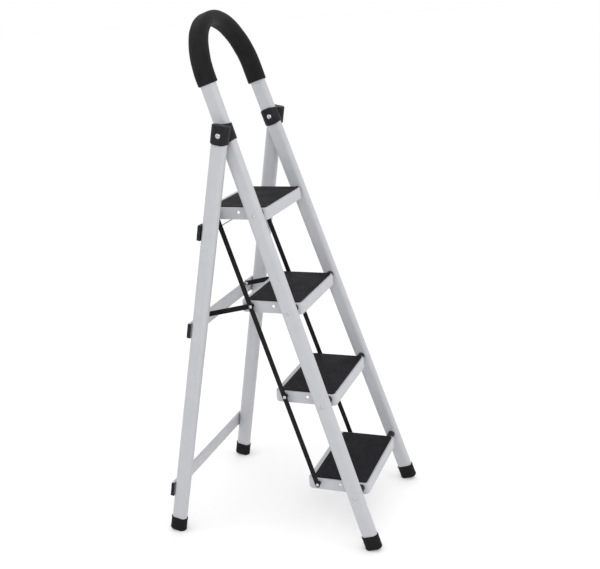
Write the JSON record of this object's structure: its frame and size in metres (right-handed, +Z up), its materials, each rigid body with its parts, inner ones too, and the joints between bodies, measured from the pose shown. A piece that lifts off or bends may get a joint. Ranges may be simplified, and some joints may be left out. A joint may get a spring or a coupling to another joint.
{
  "type": "step ladder",
  "caption": "Folding step ladder with flat-oval steel frame, matted steps, an arched foam-covered handle and a hinged rear frame linked to the steps.",
  "frame": {"origin": "on the floor, at the middle of the footprint", "axes": "+Z up; the climbing side faces -Y; X runs across the ladder"},
  "size_m": [0.5116, 0.6268, 1.4431],
  "materials": {
    "powder_coat": "light grey-white powder coat, satin",
    "black_steel": "black painted flat steel, satin",
    "zinc_steel": "zinc-plated steel",
    "black_plastic": "moulded black plastic",
    "foot_rubber": "moulded black rubber",
    "mat_rubber": "ribbed black rubber",
    "grip_foam": "closed-cell black foam with a fine skin"
  },
  "bodies": {
    "front_frame": {"front_tube": "powder_coat", "handle_grip": "grip_foam", "hinge_rivets": "zinc_steel", "step_pivot_rivets": "zinc_steel", "step_pivot_spacers": "black_plastic", "hinge_collar_right": "black_plastic", "front_foot_right": "foot_rubber", "hinge_collar_left": "black_plastic", "front_foot_left": "foot_rubber"},
    "rear_frame": {"rear_leg_right": "powder_coat", "leg_cap_right": "black_plastic", "rear_foot_right": "foot_rubber", "rear_leg_left": "powder_coat", "leg_cap_left": "black_plastic", "rear_foot_left": "foot_rubber", "upper_rail": "powder_coat", "lower_rail": "powder_coat", "tie_rod": "zinc_steel", "upper_rail_caps": "black_plastic", "lower_rail_caps": "black_plastic", "rod_pads": "black_plastic", "rail_rivets": "zinc_steel", "spreader_lugs": "powder_coat", "spreader_lug_rivets": "zinc_steel"},
    "step_1": {"step_tray_1": "powder_coat", "step_mat_1": "mat_rubber", "link_rivets_1": "zinc_steel", "link_spacers_1": "black_plastic"},
    "step_2": {"step_tray_2": "powder_coat", "step_mat_2": "mat_rubber", "link_rivets_2": "zinc_steel", "link_spacers_2": "black_plastic"},
    "step_3": {"step_tray_3": "powder_coat", "step_mat_3": "mat_rubber", "link_rivets_3": "zinc_steel", "link_spacers_3": "black_plastic"},
    "step_4": {"step_tray_4": "powder_coat", "step_mat_4": "mat_rubber", "link_rivets_4": "zinc_steel", "link_spacers_4": "black_plastic"},
    "link_bars": {"link_bar_right": "black_steel", "link_bar_left": "black_steel"},
    "spreader_left": {"spreader_left": "black_steel"},
    "spreader_right": {"spreader_right": "black_steel"}
  },
  "joints": [
    {"name": "rear_fold", "type": "hinge", "parent": "front_frame", "child": "rear_frame", "pos_m": [0, 0.06856, 1.139], "axis": [-1, 0, 0], "range_deg": [0, 26.5]},
    {"name": "step_1_fold", "type": "hinge", "parent": "front_frame", "child": "step_1", "pos_m": [0, -0.24414, 0.1535], "axis": [1, 0, 0], "range_deg": [0, 64.01]},
    {"name": "step_2_fold", "type": "hinge", "parent": "front_frame", "child": "step_2", "pos_m": [0, -0.16243, 0.411], "axis": [1, 0, 0], "range_deg": [0, 64.01]},
    {"name": "step_3_fold", "type": "hinge", "parent": "front_frame", "child": "step_3", "pos_m": [0, -0.08073, 0.6685], "axis": [1, 0, 0], "range_deg": [0, 64.01]},
    {"name": "step_4_fold", "type": "hinge", "parent": "front_frame", "child": "step_4", "pos_m": [0, 0.00098, 0.926], "axis": [1, 0, 0], "range_deg": [0, 64.01]},
    {"name": "link_bar_fold", "type": "hinge", "parent": "step_3", "child": "link_bars", "pos_m": [0, 0.04227, 0.6685], "axis": [-1, 0, 0], "range_deg": [0, 64.01]},
    {"name": "spreader_left_fold", "type": "hinge", "parent": "rear_frame", "child": "spreader_left", "pos_m": [0, 0.18196, 0.63607], "axis": [-1, 0, 0], "range_deg": [0, 61.52]},
    {"name": "spreader_right_fold", "type": "hinge", "parent": "rear_frame", "child": "spreader_right", "pos_m": [0, 0.18196, 0.63607], "axis": [-1, 0, 0], "range_deg": [0, 61.52]}
  ],
  "couplings": [
    {"joint": "step_1_fold", "follows": "rear_fold", "ratio": 2.4151},
    {"joint": "step_2_fold", "follows": "rear_fold", "ratio": 2.4151},
    {"joint": "step_3_fold", "follows": "rear_fold", "ratio": 2.4151},
    {"joint": "step_4_fold", "follows": "rear_fold", "ratio": 2.4151},
    {"joint": "link_bar_fold", "follows": "rear_fold", "ratio": 2.4151},
    {"joint": "spreader_left_fold", "follows": "rear_fold", "ratio": 2.321},
    {"joint": "spreader_right_fold", "follows": "rear_fold", "ratio": 2.321}
  ]
}
